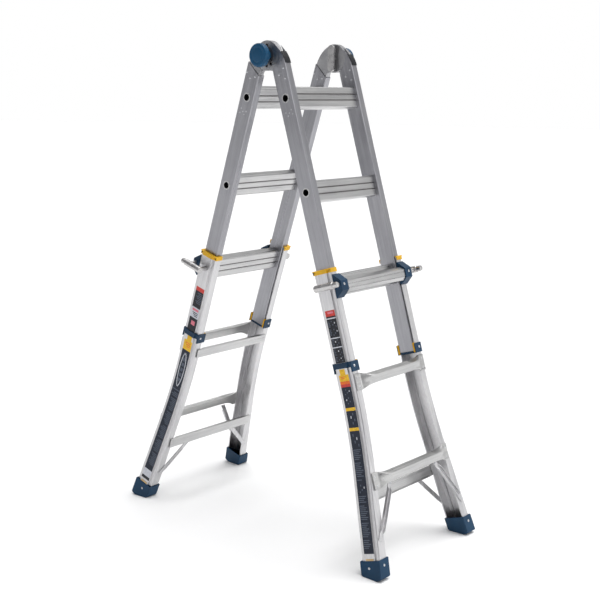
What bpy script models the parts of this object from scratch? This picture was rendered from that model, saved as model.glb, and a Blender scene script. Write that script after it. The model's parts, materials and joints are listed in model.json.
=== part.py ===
"""Multi-position folding ladder: two telescoping frames joined by two locking hinges.

Metres, +Z up.  The origin is on the floor, midway between the four feet.  X runs along the
rungs and the hinge axis, the front frame leans towards -Y and the rear frame towards +Y.

Each frame is drawn in its own coordinates (x, u, n): u points up the rail and n towards the
person who climbs it.  Both start at the middle of the top rung.  A distance "down" is
measured along the rail from the top rung, so u = -down.
"""
import math

import bmesh
import bpy
from mathutils import Matrix, Vector

# ---- driving dimensions -------------------------------------------------------------------
RUNG_PITCH = 0.3048            # twelve inches, the standard rung spacing
LEAN = math.radians(17.25)     # of each frame from the vertical
HINGE_HEIGHT = 1.586           # hinge axis above the floor
HINGE_TO_RAIL = 0.0403         # hinge axis to the rail's centre line
HINGE_TO_RUNG = 0.151          # hinge axis to the top rung, along the rail
FIT = 0.0003                   # gap between touching pieces
SLIDE_FIT = 0.0012             # gap between pieces that slide

INNER_X = 0.1845               # outer face of an inner rail
INNER_WIDTH = 0.0275
INNER_DEPTH = 0.0586
INNER_WALL = 0.0022
INNER_END = 2 * RUNG_PITCH + 0.267     # bottom end of the inner rails

OUTER_X = 0.190                # outer face of an outer rail, above the flare
OUTER_DEPTH = 0.070
OUTER_WALL = 0.0024
OUTER_FLANGE = 0.0265
FOOT_FLANGE_GAIN = 0.008       # the flanges widen this much towards the foot
LIP = 0.002                    # bead along each flange's edge
CROWN = 0.005                  # the web's middle stands this far proud, for the labels
CROWN_HALF = 0.0215
OUTER_TOP = 2 * RUNG_PITCH - 0.0523    # top end of the outer rails
OUTER_END = 1.500              # bottom end of the outer rails
FLARE_START, FLARE_END = 0.93, 1.22    # the rails bend outwards between these
FLARE_SLOPE = 0.168

LOCK_DOWN = 2 * RUNG_PITCH     # the telescoping locks stand at the third rung
HINGE_RADIUS = 0.0475
LOCK_PIN_ORBIT = 0.032         # the hinge's lock pins stand this far from its axis
ROUND = 24                     # sides of a round piece

TUBE_RADIUS, TUBE_BORE = 0.0125, 0.011     # a rung's centre tube
RUNG_HALF_HEIGHT, RUNG_HALF_DEPTH = 0.035, 0.0165

FINISHES = {                   # colour, roughness, metallic
    "aluminium": ((0.62, 0.62, 0.63), 0.38, 1.0),
    "cast aluminium": ((0.55, 0.55, 0.57), 0.5, 1.0),
    "steel": ((0.66, 0.66, 0.68), 0.28, 1.0),
    "navy plastic": ((0.012, 0.045, 0.10), 0.45, 0.0),
    "navy rubber": ((0.012, 0.050, 0.10), 0.65, 0.0),
    "yellow plastic": ((0.72, 0.46, 0.05), 0.4, 0.0),
    "blue knob": ((0.008, 0.055, 0.14), 0.4, 0.0),
}


# ---- scene and mesh helpers ---------------------------------------------------------------
def clear_scene():
    for old in list(bpy.data.objects):
        bpy.data.objects.remove(old, do_unlink=True)


def new_collection(name):
    group = bpy.data.collections.new(name)
    bpy.context.scene.collection.children.link(group)
    return group


def scratch_object(data):
    """An object that only exists while a mesh is being made."""
    made = bpy.data.objects.new("cutter", data)
    CUTTERS.objects.link(made)
    made.hide_render = True
    if made.type == "MESH":
        made.display_type = "WIRE"
    return made


def evaluated_mesh(made):
    """The object's mesh with its modifiers, in its own coordinates; the object is removed."""
    bpy.context.view_layer.update()
    graph = bpy.context.evaluated_depsgraph_get()
    mesh = bpy.data.meshes.new_from_object(made.evaluated_get(graph))
    bpy.data.objects.remove(made, do_unlink=True)
    return mesh


def clean(mesh):
    """Welds loose caps and points every face outwards."""
    work = bmesh.new()
    work.from_mesh(mesh)
    bmesh.ops.remove_doubles(work, verts=work.verts, dist=0.00002)
    bmesh.ops.recalc_face_normals(work, faces=work.faces)
    work.to_mesh(mesh)
    work.free()
    return mesh


def moved(mesh, matrix):
    mesh.transform(matrix)
    return mesh


def mirrored(mesh):
    """The piece for the other side of the frame."""
    twin = mesh.copy()
    work = bmesh.new()
    work.from_mesh(twin)
    for vert in work.verts:
        vert.co.x = -vert.co.x
    bmesh.ops.reverse_faces(work, faces=work.faces)
    work.to_mesh(twin)
    work.free()
    return twin


def combine(mesh, tools, operation):
    """mesh with each tool mesh cut away or joined on."""
    base = scratch_object(mesh)
    helpers = [scratch_object(tool) for tool in tools]
    for helper in helpers:
        step = base.modifiers.new("shape", "BOOLEAN")
        step.operation = operation
        step.solver = "EXACT"
        step.object = helper
    result = evaluated_mesh(base)
    for helper in helpers:
        bpy.data.objects.remove(helper, do_unlink=True)
    return clean(result)


def cut(mesh, *tools):
    return combine(mesh, tools, "DIFFERENCE")


def join(mesh, *tools):
    return combine(mesh, tools, "UNION")


ALONG_X = Matrix(((0, 0, 1, 0), (1, 0, 0, 0), (0, 1, 0, 0), (0, 0, 0, 1)))
ALONG_U = Matrix(((0, 1, 0, 0), (0, 0, 1, 0), (1, 0, 0, 0), (0, 0, 0, 1)))


def prism(loops, start, end, along):
    """Flat outlines pulled from start to end.

    ALONG_X takes (u, n) points and pulls along x; ALONG_U takes (n, x) points and pulls
    along u.  The first outline is the solid's edge and the others are holes.
    """
    curve = bpy.data.curves.new("outline", "CURVE")
    curve.dimensions = "2D"
    curve.fill_mode = "BOTH"
    curve.extrude = (end - start) / 2
    for loop in loops:
        spline = curve.splines.new("POLY")
        spline.points.add(len(loop) - 1)
        for point, (a, b) in zip(spline.points, loop):
            point.co = (a, b, 0.0, 1.0)
        spline.use_cyclic_u = True
    mesh = evaluated_mesh(scratch_object(curve))
    mesh.transform(Matrix.Translation((0.0, 0.0, (start + end) / 2)))
    return clean(moved(mesh, along))


def loft(rings):
    """A skin through rings of points, closed with a face at each end."""
    work = bmesh.new()
    rows = [[work.verts.new(point) for point in ring] for ring in rings]
    count = len(rows[0])
    for lower, upper in zip(rows, rows[1:]):
        for i in range(count):
            j = (i + 1) % count
            work.faces.new((lower[i], lower[j], upper[j], upper[i]))
    work.faces.new(rows[0])
    work.faces.new(rows[-1])
    mesh = bpy.data.meshes.new("loft")
    work.to_mesh(mesh)
    work.free()
    return clean(mesh)


def turned(profile, sides=ROUND):
    """A profile of (radius, height) points, listed from the top down, turned about Z."""
    mesh = bpy.data.meshes.new("profile")
    points = [(radius, 0.0, height) for radius, height in profile]
    mesh.from_pydata(points, [(i, i + 1) for i in range(len(points) - 1)], [])
    made = scratch_object(mesh)
    spin = made.modifiers.new("turn", "SCREW")
    spin.steps = sides
    spin.render_steps = sides
    spin.use_merge_vertices = True
    spin.merge_threshold = 0.00001
    return clean(evaluated_mesh(made))


def rod(start, end, radius, sides=ROUND):
    """A cylinder between two points."""
    start, end = Vector(start), Vector(end)
    work = bmesh.new()
    bmesh.ops.create_cone(work, cap_ends=True, segments=sides, radius1=radius,
                          radius2=radius, depth=(end - start).length)
    mesh = bpy.data.meshes.new("rod")
    work.to_mesh(mesh)
    work.free()
    turn = (end - start).to_track_quat("Z", "Y").to_matrix().to_4x4()
    return moved(mesh, Matrix.Translation((start + end) / 2) @ turn)


def block(low, high, bevel=0.0):
    """A box between two corners, its edges cut back by bevel."""
    low, high = Vector(low), Vector(high)
    size = high - low
    work = bmesh.new()
    bmesh.ops.create_cube(work, size=1.0)
    place = Matrix.Translation((low + high) / 2) @ Matrix.Diagonal((*size, 1.0))
    bmesh.ops.transform(work, matrix=place, verts=work.verts)
    if bevel:
        bmesh.ops.bevel(work, geom=work.edges, offset=bevel, segments=1, affect="EDGES")
    mesh = bpy.data.meshes.new("block")
    work.to_mesh(mesh)
    work.free()
    return clean(mesh)


# ---- outlines -----------------------------------------------------------------------------
def rectangle(a0, a1, b0, b1, chamfer=0.0):
    c = chamfer
    if not c:
        return [(a0, b0), (a1, b0), (a1, b1), (a0, b1)]
    return [(a0 + c, b0), (a1 - c, b0), (a1, b0 + c), (a1, b1 - c),
            (a1 - c, b1), (a0 + c, b1), (a0, b1 - c), (a0, b0 + c)]


def arc(centre, radius, start, end, steps):
    """Points on an arc, angles in degrees from the first axis."""
    points = []
    for i in range(steps + 1):
        angle = math.radians(start + (end - start) * i / steps)
        points.append((centre[0] + radius * math.cos(angle),
                       centre[1] + radius * math.sin(angle)))
    return points


def circle(centre, radius, sides=ROUND):
    return arc(centre, radius, 0.0, 360.0, sides)[:-1]


def bezier(p0, p1, p2, p3, steps):
    """Points between p0 and p3, both ends left out."""
    points = []
    for i in range(1, steps):
        t = i / steps
        w = ((1 - t) ** 3, 3 * t * (1 - t) ** 2, 3 * t * t * (1 - t), t ** 3)
        points.append(tuple(sum(k * p[axis] for k, p in zip(w, (p0, p1, p2, p3)))
                            for axis in (0, 1)))
    return points


# ---- inner frame --------------------------------------------------------------------------
RAIL_IN_HINGE = Matrix.Translation((0.0, -HINGE_TO_RUNG, HINGE_TO_RAIL))
HINGE_IN_RAIL = RAIL_IN_HINGE.inverted()
RAIL_FACE = HINGE_TO_RAIL + INNER_DEPTH / 2       # climbing face, from the hinge axis
RAIL_BACK = HINGE_TO_RAIL - INNER_DEPTH / 2
SHOULDER_DROP = 0.045          # the hinge's shoulder meets the rail's face this far down
THROAT = 0.062                 # the back flange starts this far down
WEB_CUT = HINGE_RADIUS + 0.0025


def rail_tube():
    half = INNER_DEPTH / 2
    x0, x1 = INNER_X - INNER_WIDTH, INNER_X
    wall = INNER_WALL
    outside = rectangle(-half, half, x0, x1, 0.0018)
    inside = rectangle(-half + wall, half - wall, x0 + wall, x1 - wall)
    return prism([outside, inside], -INNER_END, HINGE_TO_RUNG + 0.02, ALONG_U)


def rung_bores():
    """Holes for the rungs' centre tubes, through both webs."""
    return [rod((INNER_X - INNER_WIDTH - 0.01, -i * RUNG_PITCH, 0.0),
                (INNER_X + 0.01, -i * RUNG_PITCH, 0.0), TUBE_RADIUS + FIT, 20)
            for i in range(3)]


def shoulder(reach):
    """The curve from the hinge disc down to the rail's climbing face, as (u, n) points."""
    top = arc((0.0, 0.0), HINGE_RADIUS, 54.0, 54.0, 1)[0]
    heel = (-SHOULDER_DROP, reach)
    return [top, *bezier(top, (0.012, 0.055), (-0.018, reach), heel, 5), heel]


def front_inner_rail():
    """The webs are scooped round the hinge and end in a curved horn on the climbing side."""
    top = shoulder(RAIL_FACE)
    above = [(0.2, 0.0), (0.2, 0.2), (-SHOULDER_DROP, 0.2), *reversed(top)]
    x0, x1 = INNER_X - INNER_WIDTH - 0.01, INNER_X + 0.01
    scoop = prism([circle((0.0, 0.0), WEB_CUT, 40)], x0, x1, ALONG_X)
    crest = prism([above], x0 - 0.001, x1 + 0.001, ALONG_X)
    back = prism([rectangle(-0.03, 0.2, -0.05, 0.03)], x0 - 0.002, x1 + 0.002, ALONG_X)
    heel = prism([rectangle(-THROAT - 0.0005, 0.2, -0.05, RAIL_BACK + INNER_WALL)],
                 x0 - 0.003, x1 + 0.003, ALONG_X)
    tools = [moved(tool, HINGE_IN_RAIL) for tool in (scoop, crest, back, heel)]
    return cut(rail_tube(), *tools, *rung_bores())


def rear_inner_rail():
    """The rear rails end in a diagonal cut below the hinge disc."""
    beyond = [(0.2, -0.1), (0.2, 0.2), (-0.0395, RAIL_FACE + 0.001),
              (-0.0715, RAIL_BACK - 0.001), (-0.0715, -0.1)]
    crest = prism([beyond], INNER_X - INNER_WIDTH - 0.01, INNER_X + 0.01, ALONG_X)
    return cut(rail_tube(), moved(crest, HINGE_IN_RAIL), *rung_bores())


def rung_outline():
    """Three raised bands with two grooves between them, on both faces."""
    depth, height = RUNG_HALF_DEPTH, RUNG_HALF_HEIGHT
    groove = 0.0016
    quarter = [(height, depth - 0.0065), (height - 0.0012, depth - 0.0022),
               (height - 0.0042, depth), (0.0125, depth), (0.0115, depth - groove),
               (0.0085, depth - groove), (0.0075, depth)]
    face = quarter + [(-u, n) for u, n in reversed(quarter)]
    return face + [(-u, -n) for u, n in face]


def inner_rung():
    """A hollow extrusion on a tube whose ends are flared outside the rails."""
    wall = 0.0026
    room = rectangle(0.0150, RUNG_HALF_HEIGHT - wall, -RUNG_HALF_DEPTH + wall + 0.0008,
                     RUNG_HALF_DEPTH - wall - 0.0008, 0.002)
    lower_room = [(-u, n) for u, n in reversed(room)]
    half = INNER_X - INNER_WIDTH - FIT
    body = prism([rung_outline(), room, lower_room], -half, half, ALONG_X)
    ring, edge = 0.0150, INNER_X + FIT
    tube = turned([(0.0, edge + 0.001), (ring - 0.0006, edge + 0.001), (ring, edge + 0.0003),
                   (ring, edge), (TUBE_RADIUS, edge), (TUBE_RADIUS, -edge), (ring, -edge),
                   (ring, -edge - 0.0003), (ring - 0.0006, -edge - 0.001),
                   (0.0, -edge - 0.001)], 20)
    moved(tube, Matrix.Rotation(math.pi / 2, 4, "Y"))
    bore = rod((-0.2, 0.0, 0.0), (0.2, 0.0, 0.0), TUBE_BORE, 20)
    return cut(join(body, tube), bore)


# ---- hinges -------------------------------------------------------------------------------
FRONT_PLATE = (0.1723, 0.1818)     # x range of the hinge plates, inside the rails
REAR_PLATE = (0.1600, 0.1718)
TONGUE_FOOT = -0.125               # the plates' tongues end here, from the hinge axis
SHAFT_RADIUS, LOCK_PIN_RADIUS = 0.007, 0.0045
HOLE_GAP = 0.0005


def hinge_plate(span, pin_angles):
    """A disc with a tongue that runs down inside the rail, in (u, n) from the hinge axis."""
    reach = RAIL_FACE - INNER_WALL - 0.0005
    back = RAIL_BACK + INNER_WALL + 0.0005
    curve = shoulder(reach)
    disc = arc((0.0, 0.0), HINGE_RADIUS, 54.0, -178.0, 26)[1:]
    throat = bezier(disc[-1], (-0.0482, 0.006), (-0.054, back), (-THROAT, back), 4)
    outline = [*reversed(curve), *disc, *throat, (-THROAT, back), (TONGUE_FOOT, back),
               (TONGUE_FOOT, reach)]
    holes = [circle((0.0, 0.0), SHAFT_RADIUS + HOLE_GAP)]
    for angle in pin_angles:
        for flip in (0.0, 180.0):
            turn = math.radians(angle + flip)
            spot = (LOCK_PIN_ORBIT * math.cos(turn), LOCK_PIN_ORBIT * math.sin(turn))
            holes.append(circle(spot, LOCK_PIN_RADIUS + HOLE_GAP, 16))
    return prism([outline, *holes], *span, ALONG_X)


def front_hinge_plate():
    """Two pairs of holes: one for the stepladder, one for folded and straight."""
    tilt = math.degrees(LEAN)
    return hinge_plate(FRONT_PLATE, (tilt, -tilt))


def rear_hinge_plate():
    """Its tongue is as thick as both plates, so that it fills the rail below the front plate."""
    radius = HINGE_RADIUS + 0.0013
    reach = RAIL_FACE - INNER_WALL - 0.0005
    back = RAIL_BACK + INNER_WALL + 0.0005
    top = -0.0335
    high = 180.0 - math.degrees(math.acos(-top / radius))
    low = 180.0 - math.degrees(math.asin(back / radius))
    outline = [(TONGUE_FOOT, back), (TONGUE_FOOT, reach), (-SHOULDER_DROP, reach),
               (top, 0.060), *arc((0.0, 0.0), radius, high, low, 6)]
    tongue = prism([outline], REAR_PLATE[1] - 0.0002, FRONT_PLATE[1], ALONG_X)
    return join(hinge_plate(REAR_PLATE, (math.degrees(LEAN),)), tongue)


BAR_SPAN = (0.1420, 0.1490)        # x range of the lock bar, with its pins drawn back
KNOB_FACE, KNOB_BACK, KNOB_NECK = 0.2275, 0.2080, 0.1835
KNOB_RADIUS = 0.0375


def lock_bar():
    """A strap with two pins, on the shaft that the knob pushes, about the hinge axis."""
    half, width = 0.0445, 0.013
    ends = arc((half - width, 0.0), width, -90.0, 90.0, 8)
    outline = ends + [(-u, -n) for u, n in ends]
    turn = Matrix.Rotation(LEAN, 4, "X")
    strap = moved(prism([outline], *BAR_SPAN, ALONG_X), turn)
    tip = REAR_PLATE[1] - 0.0002
    pins = [moved(rod((BAR_SPAN[0] + 0.002, side * LOCK_PIN_ORBIT, 0.0),
                      (tip, side * LOCK_PIN_ORBIT, 0.0), LOCK_PIN_RADIUS, 16), turn)
            for side in (-1, 1)]
    shaft = rod((BAR_SPAN[0] + 0.001, 0.0, 0.0), (KNOB_BACK + 0.008, 0.0, 0.0), SHAFT_RADIUS)
    return join(strap, shaft, *pins)


def knob():
    """A round push knob with a blind bore for the shaft."""
    rim = [(KNOB_RADIUS - 0.005 + 0.005 * math.sin(math.radians(a)),
            KNOB_FACE - 0.0045 + 0.0045 * math.cos(math.radians(a))) for a in (0, 30, 60, 90)]
    floor = KNOB_BACK + 0.0085
    profile = [(0.0, KNOB_FACE + 0.0015), (KNOB_RADIUS * 0.5, KNOB_FACE + 0.001), *rim,
               (KNOB_RADIUS, KNOB_BACK + 0.002), (KNOB_RADIUS - 0.002, KNOB_BACK),
               (0.020, KNOB_BACK), (0.0185, KNOB_BACK - 0.003), (0.0185, KNOB_NECK),
               (SHAFT_RADIUS + FIT, KNOB_NECK), (SHAFT_RADIUS + FIT, floor), (0.0, floor)]
    return moved(turned(profile, 40), Matrix.Rotation(math.pi / 2, 4, "Y"))


# ---- outer frame --------------------------------------------------------------------------
def web_x(down):
    """The outer rail's web bends outwards and then runs on straight."""
    bend = min(max(down - FLARE_START, 0.0), FLARE_END - FLARE_START)
    curved = FLARE_SLOPE * bend * bend / (2 * (FLARE_END - FLARE_START))
    return OUTER_X + curved + FLARE_SLOPE * max(down - FLARE_END, 0.0)


def flange_width(down):
    gain = min(max((down - FLARE_END) / 0.2, 0.0), 1.0)
    return OUTER_FLANGE + FOOT_FLANGE_GAIN * gain


def flange_tip(down):
    return web_x(down) - flange_width(down)


def channel_ring(down):
    """The C-shaped section, from one flange's edge round the web to the other's."""
    web, tip = web_x(down), flange_tip(down)
    half, inside = OUTER_DEPTH / 2, OUTER_DEPTH / 2 - OUTER_WALL
    lip = INNER_DEPTH / 2 + SLIDE_FIT
    half_ring = [(web + CROWN, CROWN_HALF - 0.0015), (web, CROWN_HALF), (web, half - 0.002),
                 (web - 0.002, half), (tip, half), (tip, lip), (tip + LIP, lip),
                 (tip + LIP, inside), (web - OUTER_WALL, inside),
                 (web - OUTER_WALL, CROWN_HALF - 0.0020),
                 (web + CROWN - OUTER_WALL, CROWN_HALF - 0.0035)]
    ring = half_ring + [(x, -n) for x, n in reversed(half_ring)]
    return [(x, -down, n) for x, n in ring]


def outer_rail():
    bend = FLARE_END - FLARE_START
    stations = [OUTER_TOP, *(FLARE_START + bend * i / 6 for i in range(7)), 1.42, OUTER_END]
    bore = rod((OUTER_X - 0.02, -LOCK_DOWN, 0.0), (OUTER_X + 0.02, -LOCK_DOWN, 0.0),
               LOCK_PIN + HOLE_GAP, 20)
    return cut(loft([channel_ring(down) for down in stations]), bore)


LOCK_PIN, LOCK_LEG, LOCK_BAR = 0.0078, 0.006, 0.0114
LOCK_NOSE = 0.0094             # the handle is thinner where it bends into its leg
LOCK_STANDOFF = 0.2275         # the handle's centre line
LOCK_TIP = OUTER_X + CROWN - OUTER_WALL + 0.0002
LEG_N = 0.052                  # the leg runs inside the top rung
LEG_END = 0.150


def telescoping_lock():
    """A handle with a locking pin and a guide leg; the pin stands on the origin's axis."""
    nose, collar, bottom = 0.0825, 0.0645, -0.0108
    profile = [(0.0, nose), (LOCK_NOSE - 0.0045, nose), (LOCK_NOSE - 0.0012, nose - 0.0018),
               (LOCK_NOSE, nose - 0.005), (LOCK_NOSE, collar), (LOCK_BAR - 0.001, collar),
               (LOCK_BAR, collar - 0.001), (LOCK_BAR, bottom + 0.0015),
               (LOCK_BAR - 0.0015, bottom), (0.0, bottom)]
    handle = moved(turned(profile, 20), Matrix.Translation((LOCK_STANDOFF, 0.0, 0.0)))
    pin = rod((LOCK_STANDOFF, 0.0, 0.0), (LOCK_TIP, 0.0, 0.0), LOCK_PIN, 20)
    leg = rod((LOCK_STANDOFF, 0.0, LEG_N), (LEG_END, 0.0, LEG_N), LOCK_LEG, 16)
    return join(handle, pin, leg)


TOP_RUNG_DOWN = LOCK_DOWN + 0.0057
TOP_RUNG_HALF = 0.023
TOP_RUNG_N = (0.0365, 0.0625)
TOP_RUNG_END = 0.186


def top_rung_outline(grow=0.0):
    """Sloped above and below a narrower front face, as (u, n) about the rung's middle."""
    half, (n0, n1) = TOP_RUNG_HALF + grow, TOP_RUNG_N
    n0, n1 = n0 - grow, n1 + grow
    return [(half, n0), (half, n1 - 0.016), (half - 0.0105, n1),
            (-half + 0.0105, n1), (-half, n1 - 0.0105), (-half, n0)]


def outer_top_rung():
    """A hollow bar across the climbing side; the locks' legs slide in its ends."""
    loops = [top_rung_outline(), top_rung_outline(-0.0022)]
    bar = prism(loops, -TOP_RUNG_END, TOP_RUNG_END, ALONG_X)
    return moved(bar, Matrix.Translation((0.0, -TOP_RUNG_DOWN, 0.0)))


BRACKET_X = (0.156, OUTER_X)
BRACKET_N = (OUTER_DEPTH / 2 + FIT, 0.0658)


def rung_bracket():
    """A moulded saddle that holds the top rung's end against the rail's flange."""
    n0, n1 = BRACKET_N
    edge = n0 + 0.003
    outline = [(0.0410, n0), (0.0410, edge), (0.0165, n1), (-0.0150, n1), (-0.0365, edge),
               (-0.0365, n0)]
    body = prism([outline], *BRACKET_X, ALONG_X)
    pocket = prism([top_rung_outline(FIT)], BRACKET_X[0] - 0.01, TOP_RUNG_END + FIT, ALONG_X)
    level = TOP_RUNG_DOWN - LOCK_DOWN
    hole = rod((TOP_RUNG_END - 0.01, level, LEG_N), (OUTER_X + 0.01, level, LEG_N),
               LOCK_LEG + HOLE_GAP, 16)
    return moved(cut(body, pocket, hole), Matrix.Translation((0.0, -TOP_RUNG_DOWN, 0.0)))


def wrap(low_x, thickness, top, bottom):
    """A C-shaped moulding round the rail's flanges, its web and the web's crown."""

    def skin(offset, corner):
        half, middle = OUTER_DEPTH / 2 + offset, CROWN_HALF + offset
        web, crown = OUTER_X + offset, OUTER_X + CROWN + offset
        edge = [(half, low_x), (half, web - corner), (half - corner, web), (middle, web),
                (middle - corner, crown)]
        return edge + [(-n, x) for n, x in reversed(edge)]

    outline = skin(FIT, 0.0003) + skin(FIT + thickness, 0.0015)[::-1]
    return prism([outline], -bottom, -top, ALONG_U)


CAP_WALL, CAP_RISE, CAP_SKIRT = 0.0025, 0.0043, 0.0098


def rail_top_cap():
    """The yellow cap on the outer rail's top end; its lip closes the gap to the inner rail."""
    top, bottom = OUTER_TOP - CAP_RISE, OUTER_TOP + CAP_SKIRT
    skirt = wrap(0.1625, CAP_WALL, top, bottom)
    half, gap = OUTER_DEPTH / 2 + CAP_WALL / 2, INNER_DEPTH / 2 + SLIDE_FIT
    face, web = INNER_X + 0.0024, OUTER_X + CROWN + CAP_WALL / 2
    lip = prism([[(gap, 0.1630), (gap, face), (-gap, face), (-gap, 0.1630),
                  (-half, 0.1630), (-half, web), (half, web), (half, 0.1630)]],
                -OUTER_TOP + FIT, -top - 0.0004, ALONG_U)
    return join(skirt, lip)


GUIDE_TOP, GUIDE_STRAP, GUIDE_BOTTOM = 0.852, 0.870, 0.885


def rail_guide():
    """The navy guide at the inner rail's end: a strap over the web and a pad on each flange."""
    body = wrap(0.156, 0.0032, GUIDE_TOP, GUIDE_BOTTOM)
    half = OUTER_DEPTH / 2 - 0.001
    opening = block((OUTER_X - 0.004, -GUIDE_BOTTOM - 0.005, -half),
                    (OUTER_X + 0.02, -GUIDE_STRAP, half))
    return cut(body, opening)


STEP_DEPTH, STEP_HEIGHT, STEP_WALL = 0.028, 0.029, 0.002
STEP_TOPS = (0.9010, 1.2135)       # the steps' tops, at the flange
STEP_ENDS = (0.187, 0.208)
TAB_RISE, TAB_DROP, TAB_THICK = 0.0080, 0.0465, 0.0046
TAB_SLIT = 0.0005                  # between the two walls of a pressed end
BAR_TOPS = (0.9120, 1.2740)        # the back bars' tops
BAR_HEIGHTS = (0.032, 0.036)
BAR_TABS = (0.014, 0.015)          # how far the bars' ends reach over the flanges
BAR_N = (-0.0305, -0.0397)         # clear of the inner rail, and of the folded rear frame


def pressed_section(rise, drop, low, high, c):
    """A step's end as (down, out) points: the tube pressed flat on the flange."""
    return [(-rise, low + c), (-rise, high - c), (-rise + c, high), (drop - c, high),
            (drop, high - c), (drop, low + c), (drop - c, low), (-rise + c, low)]


def level_section(w, c=0.0015):
    """A step's middle as (down, out) points: level on top, its back on the flanges' plane."""
    sine, cosine = math.sin(LEAN), math.cos(LEAN)
    front, floor = STEP_DEPTH - w, STEP_HEIGHT - w

    def back(below):
        return (w + below * sine) / cosine

    section = [(back(w) + c, w), (front - c, w), (front, w + c), (front, floor - c),
               (front - c, floor), (back(floor) + c, floor), (back(floor - c), floor - c),
               (back(w + c), w + c)]
    return [(across * sine + below * cosine, across * cosine - below * sine)
            for across, below in section]


def step_rings(index, hollow):
    """The step's skin, or its cavity, which opens as a slit at each end."""
    end, top = STEP_ENDS[index], STEP_TOPS[index]
    if hollow:
        low = (TAB_THICK - TAB_SLIT) / 2
        flat = pressed_section(TAB_RISE - 0.003, TAB_DROP - 0.003, low, low + TAB_SLIT,
                               TAB_SLIT / 4)
        level = level_section(STEP_WALL)
    else:
        flat = pressed_section(TAB_RISE, TAB_DROP, 0.0, TAB_THICK, 0.0015)
        level = level_section(0.0)
    shape = [(end + 0.004 * hollow, 0.0), (end - 0.026, 0.0), (end - 0.040, 0.50),
             (end - 0.058, 0.85), (end - 0.090, 1.0)]
    base = OUTER_DEPTH / 2 + FIT
    rings = []
    for x, bulge in [(-x, bulge) for x, bulge in shape] + shape[::-1]:
        rings.append([(x, -top - a - (c - a) * bulge, base + b + (d - b) * bulge)
                      for (a, b), (c, d) in zip(flat, level)])
    return rings


def climbing_step(index):
    """A tube whose ends are pressed flat against the climbing flanges."""
    return cut(loft(step_rings(index, False)), loft(step_rings(index, True)))


def channel_bar_ring(x, top, height, depth):
    """A shallow channel lying on the back flanges, open towards the inner rail."""
    t = 0.0022
    face = BAR_N[1]
    return [(x, -top, face), (x, -top, face + depth), (x, -top - t, face + depth),
            (x, -top - t, face + t), (x, -top - height + t, face + t),
            (x, -top - height + t, face + depth), (x, -top - height, face + depth),
            (x, -top - height, face)]


def back_bar(index):
    """A thin bar across the back flanges, behind each step."""
    top, height = BAR_TOPS[index], BAR_HEIGHTS[index]
    inner = flange_tip(top) - 0.0015
    outer = inner + BAR_TABS[index] + 0.0015
    tab, full = -OUTER_DEPTH / 2 - FIT - BAR_N[1], BAR_N[0] - BAR_N[1]
    shape = [(outer, tab), (inner, tab), (inner - 0.012, full)]
    rings = [channel_bar_ring(-x, top, height, depth) for x, depth in shape]
    rings += [channel_bar_ring(x, top, height, depth) for x, depth in reversed(shape)]
    return loft(rings)


def brace(start, end, face, direction, depth, tab):
    """A channel strut with flattened ends, from start to end in (x, u), mitred at the top."""
    start, end = Vector(start), Vector(end)
    length = (end - start).length
    along = (end - start) / length
    side = Vector((-along.y, along.x))
    half, t = 0.0078, 0.0018
    mitre = -side.y / along.y
    rings = []
    for distance, tall in ((0.0, tab), (0.022, tab), (0.032, depth), (length - 0.032, depth),
                           (length - 0.022, tab), (length, tab)):
        spot = start + along * distance
        skew = 0.0 if distance else mitre
        ring = [(-half, 0.0), (half, 0.0), (half, tall), (half - t, tall), (half - t, t),
                (-half + t, t), (-half + t, tall), (-half, tall)]
        rings.append([(*(spot + side * a + along * a * skew), face + direction * b)
                      for a, b in ring])
    return loft(rings)


BRACE_TOP_X, BRACE_FOOT_X = 0.121, 0.235
BRACE_FOOT = 1.411


def front_brace():
    """From the lower step out to the climbing flange above the shoe."""
    n = OUTER_DEPTH / 2 + FIT
    return brace((BRACE_TOP_X + 0.004, -STEP_TOPS[1] - 0.036),
                 (BRACE_FOOT_X, -BRACE_FOOT), n, 1.0, 0.0095, 0.0026)


def back_brace():
    """The same strut on the back flange, thin enough for the frames to fold."""
    return brace((BRACE_TOP_X, -BAR_TOPS[1] - BAR_HEIGHTS[1] - FIT),
                 (BRACE_FOOT_X - 0.006, -BRACE_FOOT - 0.006), -OUTER_DEPTH / 2 - FIT,
                 -1.0, 0.0042, 0.0026)


SHOE_TOP = 1.466
SHOE_WALL = 0.0034
SHOE_INNER_WALL = 0.0065


def floor_down(n):
    """How far down the rail the floor is, at distance n from its centre line."""
    rise = HINGE_HEIGHT + (HINGE_TO_RAIL + n) * math.sin(LEAN)
    return rise / math.cos(LEAN) - HINGE_TO_RUNG


def shoe():
    """A rubber cup round the rail's foot, its sole flat on the floor."""
    half = OUTER_DEPTH / 2 + SHOE_WALL
    side = [(-half, SHOE_TOP), (half, SHOE_TOP), (half, floor_down(half) - 0.012),
            (half - 0.004, floor_down(half - 0.004) - 0.008),
            (0.019, floor_down(0.019)), (-half + 0.005, floor_down(-half + 0.005)),
            (-half, floor_down(-half) - 0.004)]

    def wall(offset):
        shape = []
        for n, down in side:
            lean = FLARE_SLOPE * (down - SHOE_TOP)
            shape.append((offset + lean, -down, n))
        return shape

    inner = flange_tip(SHOE_TOP) - SHOE_INNER_WALL
    outer = web_x(SHOE_TOP) + CROWN + SHOE_WALL - 0.0006
    body = loft([wall(inner), wall(outer)])

    room = OUTER_DEPTH / 2 + FIT
    pocket = []
    for down in (SHOE_TOP - 0.02, OUTER_END + FIT):
        x0, x1 = flange_tip(down) - FIT, web_x(down) + CROWN + FIT
        pocket.append([(x0, -down, -room), (x1, -down, -room), (x1, -down, room),
                       (x0, -down, room)])
    return cut(body, loft(pocket))


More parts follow.
